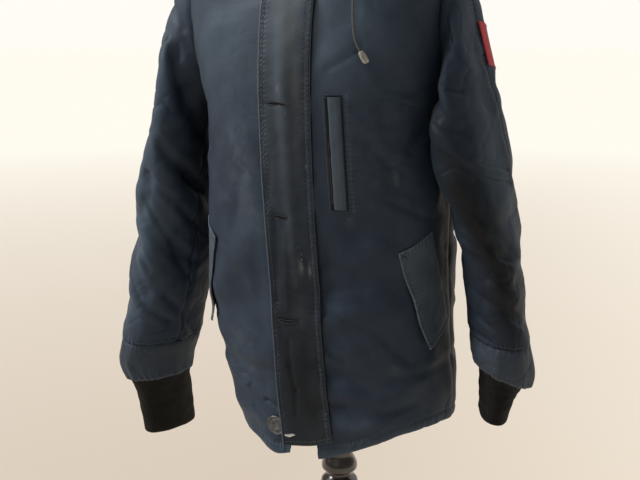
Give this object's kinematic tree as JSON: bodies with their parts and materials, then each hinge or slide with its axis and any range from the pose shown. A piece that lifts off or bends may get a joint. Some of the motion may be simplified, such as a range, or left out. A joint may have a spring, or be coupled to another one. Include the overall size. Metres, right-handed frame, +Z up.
{
  "type": "jacket and dress form stand",
  "caption": "Long padded jacket with a storm flap, slanted pocket flaps, gathered sleeve bands and rib-knit cuffs, on a limbless dress form with a turned pole and a round base.",
  "frame": {"origin": "centre of the round base's underside, on the floor", "axes": "+Z up along the pole, -Y to the jacket's front, +X to the wearer's left"},
  "size_m": [0.6976, 0.41, 1.506],
  "materials": {
    "shell_cloth": "worn matte",
    "rib_knit": "matte knit",
    "patch_cloth": "matte",
    "snap_metal": "satin",
    "cord": "braided",
    "cord_end_plastic": "satin",
    "form_cloth": "matte",
    "stand_wood": "gloss"
  },
  "bodies": {
    "root": {"front_right": "shell_cloth", "front_left": "shell_cloth", "back": "shell_cloth", "storm_flap": "shell_cloth", "collar": "shell_cloth", "chest_pocket_welt": "shell_cloth", "sleeve_front_right": "shell_cloth", "sleeve_back_right": "shell_cloth", "sleeve_band_right": "shell_cloth", "pocket_flap_right": "shell_cloth", "sleeve_front_left": "shell_cloth", "sleeve_back_left": "shell_cloth", "sleeve_band_left": "shell_cloth", "pocket_flap_left": "shell_cloth", "cuff_right": "rib_knit", "cuff_left": "rib_knit", "sleeve_patch": "patch_cloth", "snap_button": "snap_metal", "cord_eyelet": "snap_metal", "drawcord": "cord", "cord_end": "cord_end_plastic", "dress_form": "form_cloth", "stand_pole": "stand_wood", "stand_base": "stand_wood"}
  },
  "joints": []
}
